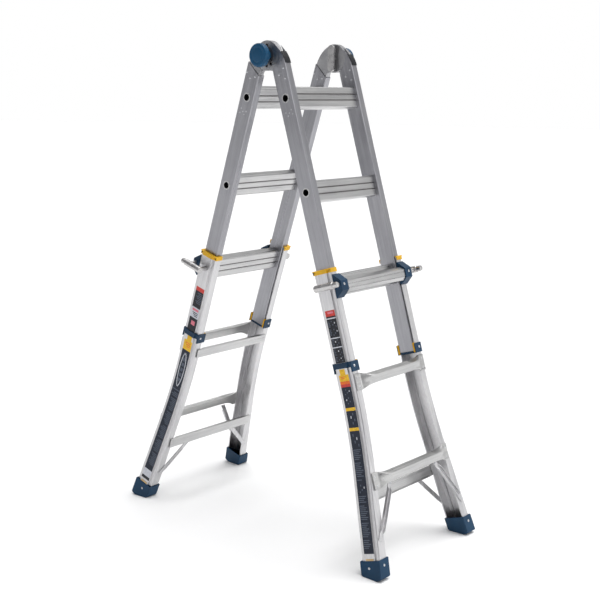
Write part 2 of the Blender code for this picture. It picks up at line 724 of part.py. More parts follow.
# ---- assembly -----------------------------------------------------------------------------
def add(name, mesh, finish, parent, location=(0.0, 0.0, 0.0)):
    colour, roughness, metallic = FINISHES[finish]
    skin = bpy.data.materials.new(name)
    skin.use_nodes = True
    shader = skin.node_tree.nodes["Principled BSDF"]
    shader.inputs["Base Color"].default_value = (*colour, 1.0)
    shader.inputs["Roughness"].default_value = roughness
    shader.inputs["Metallic"].default_value = metallic
    mesh = mesh.copy()
    mesh.name = name
    mesh.materials.clear()
    mesh.materials.append(skin)
    mesh.shade_smooth()
    mesh.set_sharp_from_angle(angle=math.radians(35))
    made = bpy.data.objects.new(name, mesh)
    PARTS.objects.link(made)
    made.parent = parent
    made.location = location
    return made


def pivot(name, location, rotation, parent=None):
    empty = bpy.data.objects.new(name, None)
    PARTS.objects.link(empty)
    empty.location = location
    empty.rotation_euler = rotation
    empty.parent = parent
    return empty


def sides(mesh):
    """The piece at +x and its mirror image at -x."""
    return {1: mesh, -1: mirrored(mesh)}


clear_scene()
PARTS = new_collection("multi_position_ladder")
CUTTERS = new_collection("cutters")

HINGE_SPOT = (0.0, 0.0, HINGE_HEIGHT)
UPRIGHT = math.pi / 2 - LEAN
IN_RAIL = (0.0, -HINGE_TO_RUNG, HINGE_TO_RAIL)
frames = {
    "front": pivot("front_frame", HINGE_SPOT, (UPRIGHT, 0.0, 0.0)),
    "rear": pivot("rear_frame", HINGE_SPOT, (UPRIGHT, 0.0, math.pi)),
}

inner_rails = {"front": sides(front_inner_rail()), "rear": sides(rear_inner_rail())}
plates = {"front": sides(front_hinge_plate()), "rear": sides(rear_hinge_plate())}
rung, top_rung = inner_rung(), outer_top_rung()
steps = [climbing_step(i) for i in range(2)]
bars = [back_bar(i) for i in range(2)]
lock = sides(telescoping_lock())
outer_pieces = [
    ("outer_rail", sides(outer_rail()), "aluminium"),
    ("top_rung_bracket", sides(rung_bracket()), "navy plastic"),
    ("rail_top_cap", sides(rail_top_cap()), "yellow plastic"),
    ("rail_guide", sides(rail_guide()), "navy plastic"),
    ("climbing_brace", sides(front_brace()), "aluminium"),
    ("back_brace", sides(back_brace()), "aluminium"),
    ("shoe", sides(shoe()), "navy rubber"),
]

for end, frame in frames.items():
    slider = pivot(end + "_outer_frame", IN_RAIL, (0.0, 0.0, 0.0), frame)
    for i, level in enumerate(("upper", "middle", "lower")):
        spot = (0.0, IN_RAIL[1] - i * RUNG_PITCH, IN_RAIL[2])
        add(f"{end}_{level}_rung", rung, "aluminium", frame, spot)
    add(f"{end}_top_outer_rung", top_rung, "aluminium", slider)
    for i, level in enumerate(("upper", "lower")):
        add(f"{end}_{level}_step", steps[i], "aluminium", slider)
        add(f"{end}_{level}_back_bar", bars[i], "aluminium", slider)
    for side, hand in ((-1, "left"), (1, "right")):
        local = side if end == "front" else -side
        add(f"{end}_inner_rail_{hand}", inner_rails[end][local], "aluminium", frame, IN_RAIL)
        add(f"{end}_hinge_plate_{hand}", plates[end][local], "cast aluminium", frame)
        for name, meshes, finish in outer_pieces:
            add(f"{end}_{name}_{hand}", meshes[local], finish, slider)
        add(f"{end}_telescoping_lock_{hand}", lock[local], "steel", slider,
            (0.0, -LOCK_DOWN, 0.0))

bars_and_knobs = (("hinge_lock_bar", sides(lock_bar()), "steel"),
                  ("hinge_knob", sides(knob()), "blue knob"))
for side, hand in ((-1, "left"), (1, "right")):
    for name, meshes, finish in bars_and_knobs:
        add(f"{name}_{hand}", meshes[-side], finish, frames["rear"])
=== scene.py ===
"""Looks for the multi-position ladder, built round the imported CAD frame.

Each frame's pieces are drawn in the rail's own coordinates (x, u, n): x along the rungs, u up
the rail from the middle of the top rung, n towards the climber.
"""
import json
import math

import bmesh
import bpy
from mathutils import Matrix, Vector


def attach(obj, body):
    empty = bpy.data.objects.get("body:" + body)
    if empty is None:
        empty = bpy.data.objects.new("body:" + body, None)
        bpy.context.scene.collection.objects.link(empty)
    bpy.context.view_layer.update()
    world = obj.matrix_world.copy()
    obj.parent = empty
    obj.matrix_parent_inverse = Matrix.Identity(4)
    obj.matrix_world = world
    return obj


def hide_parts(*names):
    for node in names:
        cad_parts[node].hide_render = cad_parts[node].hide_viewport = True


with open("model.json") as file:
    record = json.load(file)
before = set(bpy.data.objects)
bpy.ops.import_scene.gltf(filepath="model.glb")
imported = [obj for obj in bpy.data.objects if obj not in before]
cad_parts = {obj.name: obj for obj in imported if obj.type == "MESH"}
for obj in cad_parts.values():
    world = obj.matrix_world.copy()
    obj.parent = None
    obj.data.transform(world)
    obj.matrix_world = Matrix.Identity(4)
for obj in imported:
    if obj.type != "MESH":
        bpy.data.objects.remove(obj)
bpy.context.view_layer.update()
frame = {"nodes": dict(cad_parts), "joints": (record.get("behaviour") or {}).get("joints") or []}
NODES = frame["nodes"]
JOINTS = {joint["name"]: joint for joint in frame["joints"]}

# ---- driving dimensions, as in the CAD model ------------------------------------------------
HINGE = Vector(JOINTS["fold"]["pos_m"])
RISE = Vector(JOINTS["front_extend"]["axis"])
LEAN = math.atan2(RISE.y, RISE.z)
RUNG_PITCH = 0.3048
HINGE_TO_RAIL, HINGE_TO_RUNG = 0.0403, 0.151
INNER_X, INNER_WIDTH, INNER_DEPTH = 0.1845, 0.0275, 0.0586
INNER_END = 2 * RUNG_PITCH + 0.267
OUTER_X, OUTER_DEPTH = 0.190, 0.070
CROWN, CROWN_HALF = 0.005, 0.0215
RUNG_TOP = 0.035                # a rung's middle to its standing face
RUNG_HALF_DEPTH, RUNG_GROOVE, GROOVE_U = 0.0165, 0.0016, 0.0100
RUNG_BORE = 0.0116
FLARE_START, FLARE_END, FLARE_SLOPE = 0.93, 1.22, 0.168
STEP_TOPS, STEP_ENDS = (0.9010, 1.2135), (0.187, 0.208)
STEP_DEPTH, STEP_HEIGHT = 0.028, 0.029
TAB_RISE, TAB_DROP, TAB_THICK = 0.0080, 0.0465, 0.0046
STEP_FLAT, STEP_RUN = 0.026, 0.064     # the pressed end, then the change of section
GUIDE_SPAN = (0.8500, 0.8830)
SHOE_TOP = 1.4650
BEVEL = 0.0005
GAP = 0.0003
SIDES = (-1, 1)


def web_x(down):
    """Where the outer rail's web is, this far down the rail."""
    bend = min(max(down - FLARE_START, 0.0), FLARE_END - FLARE_START)
    curved = FLARE_SLOPE * bend * bend / (2 * (FLARE_END - FLARE_START))
    return OUTER_X + curved + FLARE_SLOPE * max(down - FLARE_END, 0.0)


def rail_place(end):
    turn = Matrix.Rotation(math.pi if end == "rear" else 0.0, 4, "Z")
    tilt = Matrix.Rotation(math.pi / 2 - LEAN, 4, "X")
    rail = Matrix.Translation((0.0, -HINGE_TO_RUNG, HINGE_TO_RAIL))
    return Matrix.Translation(HINGE) @ turn @ tilt @ rail


PLACES = {end: rail_place(end) for end in ("front", "rear")}


def hand(end, side):
    """The world's left or right for a rail's own -x or +x."""
    return "left" if (side < 0) == (end == "front") else "right"


# ---- materials ------------------------------------------------------------------------------
EVEN, ALONG_U, ALONG_X = (1.0, 1.0, 1.0), (1.0, 0.012, 1.0), (0.012, 1.0, 1.0)


class Skin:
    """A procedural material: nodes hung on a Principled shader, in object coordinates."""

    def __init__(self, name, metallic=0.0, coat=0.0):
        self.made = bpy.data.materials.new(name)
        self.made.use_nodes = True
        self.tree = self.made.node_tree
        self.shader = self.tree.nodes["Principled BSDF"]
        self.shader.inputs["Metallic"].default_value = metallic
        self.shader.inputs["Coat Weight"].default_value = coat
        self.place = self.tree.nodes.new("ShaderNodeTexCoord").outputs["Object"]

    def noise(self, scale, stretch=EVEN, detail=4.0):
        mapping = self.tree.nodes.new("ShaderNodeMapping")
        mapping.inputs["Scale"].default_value = stretch
        noise = self.tree.nodes.new("ShaderNodeTexNoise")
        noise.inputs["Scale"].default_value = scale
        noise.inputs["Detail"].default_value = detail
        self.tree.links.new(self.place, mapping.inputs["Vector"])
        self.tree.links.new(mapping.outputs["Vector"], noise.inputs["Vector"])
        return noise.outputs["Fac"]

    def span(self, value, low, high, start=0.3, end=0.7):
        node = self.tree.nodes.new("ShaderNodeMapRange")
        for socket, number in (("From Min", start), ("From Max", end), ("To Min", low),
                               ("To Max", high)):
            node.inputs[socket].default_value = number
        self.tree.links.new(value, node.inputs["Value"])
        return node.outputs["Result"]

    def colour(self, value, dark, light, start=0.3, end=0.7):
        ramp = self.tree.nodes.new("ShaderNodeValToRGB")
        ramp.color_ramp.elements[0].position = start
        ramp.color_ramp.elements[1].position = end
        ramp.color_ramp.elements[0].color = (*dark, 1.0)
        ramp.color_ramp.elements[1].color = (*light, 1.0)
        self.tree.links.new(value, ramp.inputs["Fac"])
        return ramp.outputs["Color"]

    def multiply(self, first, second):
        mix = self.tree.nodes.new("ShaderNodeMix")
        mix.data_type = "RGBA"
        mix.blend_type = "MULTIPLY"
        mix.inputs["Factor"].default_value = 1.0
        self.tree.links.new(first, mix.inputs["A"])
        self.tree.links.new(second, mix.inputs["B"])
        return mix.outputs["Result"]

    def bump(self, value, depth, strength=0.5):
        node = self.tree.nodes.new("ShaderNodeBump")
        node.inputs["Strength"].default_value = strength
        node.inputs["Distance"].default_value = depth
        self.tree.links.new(value, node.inputs["Height"])
        self.tree.links.new(node.outputs["Normal"], self.shader.inputs["Normal"])

    def link(self, value, socket):
        self.tree.links.new(value, self.shader.inputs[socket])


def metal(name, grain, tone, rough, coarse=900.0):
    """Drawn or rolled metal, its streaks along the axis where grain is small."""
    skin = Skin(name, metallic=1.0)
    streaks = skin.noise(coarse, grain, 5.0)
    broad = skin.noise(coarse / 9, grain, 3.0)
    clouds = skin.noise(7.0)
    light, dark = Vector(tone), Vector(tone) * 0.76
    fine = skin.colour(streaks, dark, light)
    tint = skin.multiply(skin.colour(broad, (0.82, 0.82, 0.83), (1.0, 1.0, 1.0)),
                         skin.colour(clouds, (0.86, 0.86, 0.87), (1.0, 1.0, 1.0)))
    skin.link(skin.multiply(fine, tint), "Base Color")
    skin.link(skin.span(broad, rough - 0.07, rough + 0.09), "Roughness")
    skin.bump(streaks, 0.00012, 0.35)
    return skin.made


def moulded(name, tone, rough, grit=700.0, depth=0.00010):
    """Moulded plastic or rubber: a fine grit, and slow changes of colour."""
    skin = Skin(name)
    grain = skin.noise(grit, detail=3.0)
    clouds = skin.noise(18.0, detail=4.0)
    skin.link(skin.colour(clouds, Vector(tone) * 0.80, Vector(tone) * 1.15), "Base Color")
    skin.link(skin.span(grain, rough - 0.06, rough + 0.08), "Roughness")
    skin.bump(grain, depth, 0.4)
    skin.shader.inputs["Specular IOR Level"].default_value = 0.28
    return skin.made


def printed(name, tone):
    """Ink on a satin label, a little rubbed."""
    skin = Skin(name, coat=0.15)
    wear = skin.noise(160.0, detail=6.0)
    skin.link(skin.colour(wear, Vector(tone) * 0.82, Vector(tone) * 1.08), "Base Color")
    skin.link(skin.span(wear, 0.34, 0.46), "Roughness")
    skin.bump(wear, 0.00002, 0.3)
    skin.shader.inputs["Specular IOR Level"].default_value = 0.25
    return skin.made


METALS = {
    "rail": metal("drawn_rail", ALONG_U, (0.46, 0.46, 0.485), 0.34),
    "outer": metal("drawn_outer_rail", ALONG_U, (0.80, 0.795, 0.80), 0.36),
    "rung": metal("drawn_rung", ALONG_X, (0.70, 0.70, 0.695), 0.32),
    "step": metal("rolled_step", ALONG_X, (0.66, 0.66, 0.65), 0.34),
    "cast": metal("cast_plate", EVEN, (0.52, 0.52, 0.53), 0.42, 300.0),
    "steel": metal("plated_steel", EVEN, (0.70, 0.69, 0.68), 0.30, 500.0),
    "rivet": metal("rivet", EVEN, (0.74, 0.75, 0.77), 0.32, 600.0),
    # painted shade: near-black steel for the strips in the rung grooves and the discs behind the
    # knobs, standing in for the shade there
    "painted_shade": metal("painted_shade_steel", EVEN, (0.22, 0.21, 0.21), 0.46, 400.0),
    # painted shade: near-black metal for the inside of the rung bores, standing in for the shade
    # there
    "bore": metal("bore_painted_shade", EVEN, (0.03, 0.03, 0.035), 0.6, 300.0),
}
PLASTICS = {
    "navy": moulded("navy_plastic", (0.005, 0.033, 0.076), 0.42),
    "rubber": moulded("navy_rubber", (0.003, 0.036, 0.085), 0.50, 520.0, 0.00018),
    "yellow": moulded("yellow_plastic", (0.78, 0.44, 0.018), 0.40),
    "knob": moulded("blue_knob", (0.004, 0.062, 0.140), 0.34),
    "pale": moulded("pale_liner", (0.60, 0.42, 0.20), 0.46),
    "black": moulded("black_plastic", (0.012, 0.013, 0.016), 0.40),
}
INKS = {
    "navy": printed("label_navy", (0.006, 0.012, 0.028)),
    "dark": printed("label_dark", (0.009, 0.010, 0.017)),
    "white": printed("label_white", (0.62, 0.64, 0.70)),
    "grey": printed("label_grey", (0.085, 0.105, 0.145)),
    "red": printed("label_red", (0.62, 0.050, 0.040)),
    "orange": printed("label_orange", (0.80, 0.16, 0.020)),
    "yellow": printed("label_yellow", (0.84, 0.50, 0.020)),
    "pink": printed("label_pink", (0.75, 0.20, 0.26)),
}


# ---- mesh helpers ---------------------------------------------------------------------------
def finished(name, mesh, place, body, skins, angle=32.0):
    """Puts a mesh in the scene on its body; skins is one material or a list."""
    for skin in skins if isinstance(skins, (list, tuple)) else [skins]:
        mesh.materials.append(skin)
    mesh.shade_smooth()
    mesh.set_sharp_from_angle(angle=math.radians(angle))
    made = bpy.data.objects.new(name, mesh)
    bpy.context.scene.collection.objects.link(made)
    made.matrix_world = place
    even = made.modifiers.new("even_normals", "WEIGHTED_NORMAL")
    even.keep_sharp = True
    even.weight = 90
    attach(made, body)
    return made


def mesh_from(work, name):
    mesh = bpy.data.meshes.new(name)
    bmesh.ops.recalc_face_normals(work, faces=work.faces)
    work.to_mesh(mesh)
    work.free()
    return mesh


def edge_bevel(work, width, angle=40.0, segments=2):
    sharp = [e for e in work.edges
             if len(e.link_faces) == 2 and e.calc_face_angle(0.0) > math.radians(angle)]
    bmesh.ops.bevel(work, geom=sharp, offset=width, segments=segments, profile=0.6,
                    affect="EDGES", clamp_overlap=True)


def cad_work(node, place):
    """The CAD node's solid in the rail's coordinates, its flat faces joined up."""
    source = NODES[node].data
    back = place.inverted()
    work = bmesh.new()
    verts = [work.verts.new(back @ vert.co) for vert in source.vertices]
    for polygon in source.polygons:
        work.faces.new([verts[i] for i in polygon.vertices])
    bmesh.ops.remove_doubles(work, verts=work.verts, dist=0.00002)
    bmesh.ops.dissolve_limit(work, angle_limit=math.radians(0.6), verts=work.verts,
                             edges=work.edges)
    return work


def from_cad(node, end, body, skins, bevel=BEVEL, bore=None):
    """The CAD solid with eased edges; faces in a bore (radius, u) along x take skin 1, a
    near-black painted shade for the inside of the bore.
    """
    work = cad_work(node, PLACES[end])
    edge_bevel(work, bevel)
    if bore:
        radius, u = bore
        for face in work.faces:
            if all(math.hypot(v.co.y - u, v.co.z) < radius for v in face.verts):
                face.material_index = 1
    made = finished(node + "_finished", mesh_from(work, node), PLACES[end], body, skins)
    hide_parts(node)
    return made


def loft(work, rows, loop=False):
    """Joins rows of points, each a closed outline, and caps them unless they make a loop."""
    faces = []
    for low, high in zip(rows, rows[1:] + rows[:1] if loop else rows[1:]):
        for i in range(len(low)):
            j = (i + 1) % len(low)
            faces.append(work.faces.new((low[i], low[j], high[j], high[i])))
    if not loop:
        faces += [work.faces.new(rows[0]), work.faces.new(rows[-1])]
    return faces


def add_block(work, low, high, bevel=0.0, turn=None):
    """A box between two corners, its edges eased if bevel is given, added to work."""
    low, high = Vector(low), Vector(high)
    place = Matrix.Translation((low + high) / 2)
    if turn is not None:
        place = place @ turn
    made = bmesh.ops.create_cube(work, size=1.0,
                                 matrix=place @ Matrix.Diagonal((*(high - low), 1.0)))
    if bevel:
        edges = {e for v in made["verts"] for e in v.link_edges}
        bmesh.ops.bevel(work, geom=list(edges), offset=bevel, segments=2, affect="EDGES")


def add_dome(work, spot, normal, radius, height):
    """A rivet head: a low dome with a small flat, standing on spot."""
    turn = Vector(normal).to_track_quat("Z", "Y").to_matrix().to_4x4()
    place = Matrix.Translation(spot) @ turn
    rings = [(radius, -0.0004), (radius, height * 0.25), (radius * 0.86, height * 0.66),
             (radius * 0.55, height * 0.93), (radius * 0.30, height),
             (radius * 0.20, height * 0.8)]
    count = 16
    rows = []
    for r, h in rings:
        rows.append([work.verts.new(place @ Vector((r * math.cos(2 * math.pi * i / count),
                                                    r * math.sin(2 * math.pi * i / count), h)))
                     for i in range(count)])
    loft(work, rows)


def rivets(name, end, body, heads, radius=0.0034, height=0.0014):
    """A row of rivet heads, each a (spot, normal) pair, as one piece."""
    work = bmesh.new()
    for spot, normal in heads:
        add_dome(work, spot, normal, radius, height)
    finished(name, mesh_from(work, name), PLACES[end], body, METALS["rivet"])


def turned_work(profile, sides=64):
    """A closed profile of (radius, x) points turned about the x axis."""
    work = bmesh.new()
    rows = []
    for radius, x in profile:
        rows.append([work.verts.new((x, radius * math.cos(2 * math.pi * i / sides),
                                     radius * math.sin(2 * math.pi * i / sides)))
                     for i in range(sides)])
    loft(work, rows, loop=True)
    return work


# ---- inner frames ---------------------------------------------------------------------------
HINGE_RIVETS = {"front": ((0.0778, -0.006), (0.0930, 0.0170), (0.0600, 0.0150)),
                "rear": ((0.0776, 0.0241), (0.0731, -0.0142), (0.0635, 0.0057))}
CRIMPS = ((-0.0440, -0.0110), (-0.0400, 0.0130), (-0.0560, -0.0040), (-0.0540, 0.0150),
          (-0.0480, 0.0030))


def inner_frame(end):
    body = end + "_inner_frame"
    for i, level in enumerate(("upper", "middle", "lower")):
        # the faces inside the rung bores take painted shade, near-black metal
        from_cad(f"{end}_{level}_rung", end, body,
                 [METALS["rung"], METALS["bore"]], 0.0004, (RUNG_BORE, -i * RUNG_PITCH))
        rung_ridges(f"{end}_{level}_rung_ridges", end, body, i)
    heads = []
    for side in SIDES:
        name = hand(end, side)
        from_cad(f"{end}_inner_rail_{name}", end, body, METALS["rail"], 0.0004)
        from_cad(f"{end}_hinge_plate_{name}", end, body, METALS["cast"])
        for u, n in HINGE_RIVETS[end]:
            heads += [((side * INNER_X, u, n), (side, 0, 0)),
                      ((side * (INNER_X - INNER_WIDTH), u, n), (-side, 0, 0))]
        rail_end_cap(end, side)
    rivets(f"{end}_hinge_rivets", end, body, heads, radius=0.0036)
    dimples = [((side * INNER_X, u, n), (side, 0, 0)) for side in SIDES for u, n in CRIMPS]
    rivets(f"{end}_rail_crimps", end, body, dimples, radius=0.0024, height=0.0009)


def rung_ridges(name, end, body, index):
    """Fine ribs along a rung's standing face, and painted shade: dark strips along the bottoms
    of its side grooves.
    """
    half = INNER_X - INNER_WIDTH - 0.001
    middle = -index * RUNG_PITCH
    rib, rib_low, rib_high = 0.0007, middle + RUNG_TOP - 0.0002, middle + RUNG_TOP + 0.0006
    ribs = bmesh.new()
    for n in (-0.0075, -0.0025, 0.0025, 0.0075):
        add_block(ribs, (-half, rib_low, n - rib), (half, rib_high, n + rib))
    finished(name, mesh_from(ribs, name), PLACES[end], body, METALS["rung"])

    # painted shade: dark metal strips laid in the side grooves, standing in for the shade deep
    # in them
    groove_shade, wide = bmesh.new(), 0.0014
    level = RUNG_HALF_DEPTH - RUNG_GROOVE
    for flip in SIDES:
        n0, n1 = sorted((flip * (level - 0.0002), flip * (level + 0.0003)))
        for u in (middle - GROOVE_U, middle + GROOVE_U):
            add_block(groove_shade, (-half, u - wide, n0), (half, u + wide, n1))
    name += "_groove_painted_shade"
    finished(name, mesh_from(groove_shade, name), PLACES[end], body, METALS["painted_shade"])


def rail_end_cap(end, side):
    """The navy plug in the inner rail's bottom end."""
    work = bmesh.new()
    x0, x1 = sorted((side * (INNER_X - INNER_WIDTH - 0.0004), side * (INNER_X - 0.0004)))
    half = INNER_DEPTH / 2 - 0.0004
    add_block(work, (x0, -INNER_END - 0.0085, -half), (x1, -INNER_END - GAP, half), 0.0015)
    name = f"{end}_rail_end_cap_{hand(end, side)}"
    finished(name, mesh_from(work, name), PLACES[end], end + "_inner_frame",
             PLASTICS["navy"])


def crest_cap(side):
    """The black strip down the front rail's curved top, along the plate's Bezier outline."""
    disc, leave, reach = 0.0475, math.radians(54.0), HINGE_TO_RAIL + INNER_DEPTH / 2
    curve = ((disc * math.cos(leave), disc * math.sin(leave)), (0.012, 0.055),
             (-0.018, reach), (-0.045, reach))
    x0, x1 = side * (INNER_X - INNER_WIDTH + 0.0004), side * (INNER_X - 0.0004)
    ease, edge, crest = side * 0.002, 0.0016, 0.0026
    steps, clear = 12, 0.52     # it starts where the rear plate, swung straight, clears it
    rows = []
    work = bmesh.new()
    for k in range(steps + 1):
        t = clear + (1 - clear) * k / steps
        weights = ((1 - t) ** 3, 3 * t * (1 - t) ** 2, 3 * t * t * (1 - t), t ** 3)
        slopes = (-3 * (1 - t) ** 2, 3 * (1 - t) * (1 - 3 * t), 3 * t * (2 - 3 * t), 3 * t * t)
        at = [sum(w * p[i] for w, p in zip(weights, curve)) for i in (0, 1)]
        to = Vector([sum(w * p[i] for w, p in zip(slopes, curve)) for i in (0, 1)]).normalized()
        out = (to.y, -to.x)
        row = []
        for x, lift in ((x0, GAP), (x0, edge), (x0 + ease, crest),
                        (x1 - ease, crest), (x1, edge), (x1, GAP)):
            u = at[0] + out[0] * lift + HINGE_TO_RUNG
            n = at[1] + out[1] * lift - HINGE_TO_RAIL
            row.append(work.verts.new((x, u, n)))
        rows.append(row)
    loft(work, rows)
    name = "hinge_crest_cap_" + hand("front", side)
    finished(name, mesh_from(work, name), PLACES["front"], "front_inner_frame",
             PLASTICS["black"])


# ---- hinge locks ----------------------------------------------------------------------------
def hinge_lock(side):
    """The bar inside, and the round push knob outside with its ribbed rim."""
    name = "left" if side < 0 else "right"
    body = "hinge_lock_" + name
    place = Matrix.Translation(HINGE)
    face, back, neck, radius, shaft = 0.2275, 0.2080, 0.1835, 0.0375, 0.0076
    ease, crown, centre, socket = 0.0065, 0.0060, 0.0005, back + 0.0088
    rim = [(radius - ease + ease * math.sin(math.radians(a)),
            face - crown + crown * math.cos(math.radians(a))) for a in range(0, 91, 15)]
    dished = [(centre, face + 0.0008), (0.016, face + 0.0006), (0.0225, face + 0.0001),
              (0.0235, face - 0.0006), (0.0245, face + 0.0001)]
    groove = [(radius, back + 0.006), (radius - 0.0008, back + 0.0052),
              (radius - 0.0008, back + 0.0044), (radius, back + 0.0036)]
    inside = [(radius, back + 0.002), (radius - 0.002, back), (0.020, back),
              (0.0185, back - 0.003), (0.0185, neck), (shaft, neck), (shaft, socket),
              (centre, socket)]
    sides, ribs_apart, rib_depth = 72, 3, 0.0009
    work = turned_work([(r, side * x) for r, x in dished + rim + groove + inside], sides)
    for vert in work.verts:
        r = math.hypot(vert.co.y, vert.co.z)
        if r > radius - 0.0003 and abs(vert.co.x) > back + 0.0055:
            step = round(math.atan2(vert.co.z, vert.co.y) / (2 * math.pi / sides))
            if step % ribs_apart == 0:
                scale = (radius - rib_depth) / r
                vert.co.y *= scale
                vert.co.z *= scale
    made = finished(f"hinge_knob_{name}_finished", mesh_from(work, "knob"), place, body,
                    PLASTICS["knob"], 50.0)
    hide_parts("hinge_knob_" + name)
    from_cad("hinge_lock_bar_" + name, "rear", body, METALS["steel"])

    # painted shade: a thin dark metal disc on the plate round the knob's neck, standing in for
    # the shade behind the knob
    inner, outer, low, high = 0.0080, 0.0285, side * 0.1821, side * 0.1833
    disc = turned_work([(outer, low), (outer, side * 0.1830), (outer - 0.001, high),
                        (inner, high), (inner, low)], 56)
    finished("hinge_painted_shade_disc_" + name, mesh_from(disc, "shade_disc"), place, "front_inner_frame",
             METALS["painted_shade"])


# ---- outer frames ---------------------------------------------------------------------------
def level_corners():
    """The step's middle section as (down, out) corners, level on top."""
    sine, cosine = math.sin(LEAN), math.cos(LEAN)
    corners = [(0.0, 0.0), (STEP_DEPTH, 0.0), (STEP_DEPTH, STEP_HEIGHT),
               (STEP_HEIGHT * sine / cosine, STEP_HEIGHT)]
    return [(a * sine + b * cosine, a * cosine - b * sine) for a, b in corners]


def rounded(corners, radius, steps=3, edge_steps=7):
    """A four-cornered outline with round corners, each edge divided alike."""
    points = []
    count = len(corners)
    for i, corner in enumerate(corners):
        here, before = Vector(corner), Vector(corners[i - 1])
        after = Vector(corners[(i + 1) % count])
        start = here + (before - here).normalized() * radius
        finish = here + (after - here).normalized() * radius
        for k in range(steps + 1):
            t = k / steps
            points.append((1 - t) ** 2 * start + 2 * t * (1 - t) * here + t * t * finish)
        nxt = after + (here - after).normalized() * radius
        for k in range(1, edge_steps):
            points.append(finish.lerp(nxt, k / edge_steps))
    return points


def climbing_step(end, index, level):
    """A tube pressed flat at its ends, where a stamping stiffens the change of section."""
    body = end + "_outer_frame"
    tip, top = STEP_ENDS[index], STEP_TOPS[index]
    flat = rounded([(-TAB_RISE, 0.0), (-TAB_RISE, TAB_THICK), (TAB_DROP, TAB_THICK),
                    (TAB_DROP, 0.0)], 0.0020)
    full = rounded(level_corners(), 0.0024)
    base = OUTER_DEPTH / 2 + GAP
    near = [tip - STEP_FLAT - STEP_RUN * k / 16 for k in range(17)]
    half = [tip, tip - 0.010, tip - 0.020, *near, tip - 0.12, 0.04]
    work = bmesh.new()
    rows = []
    for x in [-v for v in half] + half[::-1]:
        t = min(max((tip - STEP_FLAT - abs(x)) / STEP_RUN, 0.0), 1.0)
        bulge = 1 - (1 - t) ** 2.7
        row = []
        for a, b in zip(flat, full):
            down, out = a.lerp(b, bulge)
            if out > 0.0040:
                across = (abs(x) - (tip - 0.050)) / 0.019
                press = math.exp(-across ** 2 - ((down - 0.0125) / 0.0060) ** 2)
                crease = math.exp(-(across + 0.2) ** 2 - ((down - 0.0270) / 0.0032) ** 2)
                out += 0.0030 * press - 0.0024 * crease
            row.append(work.verts.new((x, -top - down, base + max(out, 0.0))))
        rows.append(row)
    loft(work, rows)
    sine, cosine = math.sin(LEAN), math.cos(LEAN)
    reach, first, apart, rib, sunk = tip - 0.096, 0.0045, 0.0048, 0.0007, 0.0008
    turn = Matrix.Rotation(-LEAN, 4, "X")
    for k in range(5):
        across = first + k * apart
        spot = Vector((0.0, -top - across * sine, base + across * cosine))
        add_block(work, spot - Vector((reach, sunk, rib)), spot + Vector((reach, rib, rib)),
                  turn=turn)
    made = finished(f"{end}_{level}_step_finished", mesh_from(work, "step"), PLACES[end], body,
                    METALS["step"], 50.0)
    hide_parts(f"{end}_{level}_step")
    heads = []
    for side in SIDES:
        for x, down in ((tip - 0.010, 0.006), (tip - 0.013, 0.036)):
            heads.append(((side * x, -top - down, base + TAB_THICK), (0, 0, 1)))
    rivets(f"{end}_{level}_step_rivets", end, body, heads)


def label(name, end, side, panels):
    """Printed panels lying on the web's crown: (start, end, low n, high n, ink, lift)."""
    work = bmesh.new()
    inks = list(INKS)
    thin, longest = 0.00012, 0.025
    for start, stop, low, high, ink, lift in panels:
        count = max(1, math.ceil((stop - start) / longest))
        rows = []
        for k in range(count + 1):
            down = start + (stop - start) * k / count
            x0 = web_x(down) + CROWN + 0.00008
            x1 = x0 + thin * (1 + lift)
            rows.append([work.verts.new((side * x, -down, n))
                         for x, n in ((x0, low), (x1, low), (x1, high), (x0, high))])
        for face in loft(work, rows):
            face.material_index = inks.index(ink)
    finished(name, mesh_from(work, name), PLACES[end], end + "_outer_frame",
             [INKS[ink] for ink in inks])


HALF = CROWN_HALF - 0.0018      # half the labels' width


def band(start, stop, ink, low=-HALF, high=HALF, lift=0):
    """One panel of a label; lift 1 lays it on the panels below."""
    return (start, stop, low, high, ink, lift)


def text_lines(start, stop, half, pitch, ink="grey", seed=1, middle=0.0):
    """Short bars in rows, as small print looks from afar; the lengths follow a fixed rule."""
    panels = []
    low = middle - half
    for k in range(int((stop - start) / pitch)):
        wave = (k * 7 + seed * 5) % 11 / 11
        if (k + seed) % 9 == 8:
            continue
        down = start + (k + 0.5) * pitch
        edge = low + 2 * half * (0.55 + 0.42 * wave)
        panels.append(band(down - pitch * 0.24, down + pitch * 0.24, ink, low, edge, 1))
    return panels


def picture(start, stop, low, high, seed):
    """A small figure: four short blocks, one of them white."""
    panels = []
    row, wide = (stop - start) / 4, (high - low) * 0.16
    for k in range(4):
        across = low + (high - low) * ((k * 3 + seed) % 5) / 5
        panels.append(band(start + row * k, start + row * (k + 0.8),
                           "white" if k == 1 else "grey", across, across + wide, 1))
    return panels


def oval(middle, long, wide, line):
    """A pale ring along the rail, in short straight lengths."""
    panels = []
    count = 24
    step = long / count
    for k in range(count):
        t = (k + 0.5) / (count / 2) - 1
        width = wide * math.sqrt(1 - t * t)
        down = middle + long * t
        for flip in SIDES:
            low, high = sorted((flip * width, flip * (width - line)))
            panels.append(band(down - step * 1.02, down + step * 1.02, "white", low, high, 1))
    return panels


